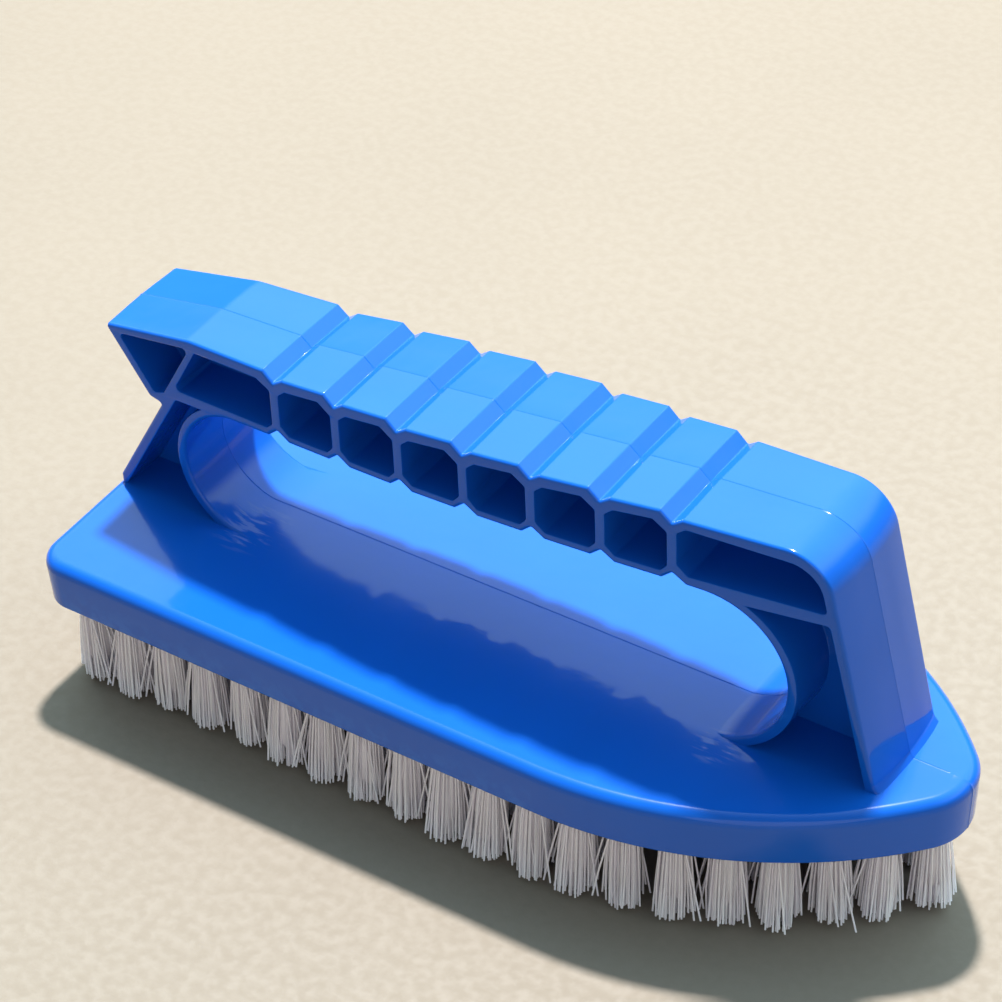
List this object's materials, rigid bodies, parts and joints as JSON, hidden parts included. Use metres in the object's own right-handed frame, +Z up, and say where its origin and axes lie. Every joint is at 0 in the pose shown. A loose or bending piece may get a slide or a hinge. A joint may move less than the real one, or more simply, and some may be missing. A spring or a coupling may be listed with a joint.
{
  "type": "hand scrub brush",
  "caption": "Hand-held pool wall brush: iron-shaped moulded block with a ribbed loop handle and staple-set bristle tufts.",
  "frame": {"origin": "under the middle of the block, on the flat plane of the tuft tips", "axes": "+X from the blunt heel to the pointed nose, +Y to the left of that, +Z up through the handle"},
  "size_m": [0.1804, 0.0742, 0.0794],
  "materials": {
    "moulding": "glossy",
    "bristles": "satin",
    "anchor_wire": "plain"
  },
  "bodies": {
    "root": {"brush_body": "moulding", "tufts_left_side": "bristles", "tufts_right_side": "bristles", "tufts_heel": "bristles", "tufts_nose": "bristles", "tufts_inner_right_outer": "bristles", "tufts_inner_right": "bristles", "tufts_inner_middle": "bristles", "tufts_inner_left": "bristles", "tufts_inner_left_outer": "bristles", "staples_left_side": "anchor_wire", "staples_right_side": "anchor_wire", "staples_heel": "anchor_wire", "staples_nose": "anchor_wire", "staples_inner_right_outer": "anchor_wire", "staples_inner_right": "anchor_wire", "staples_inner_middle": "anchor_wire", "staples_inner_left": "anchor_wire", "staples_inner_left_outer": "anchor_wire"}
  },
  "joints": []
}
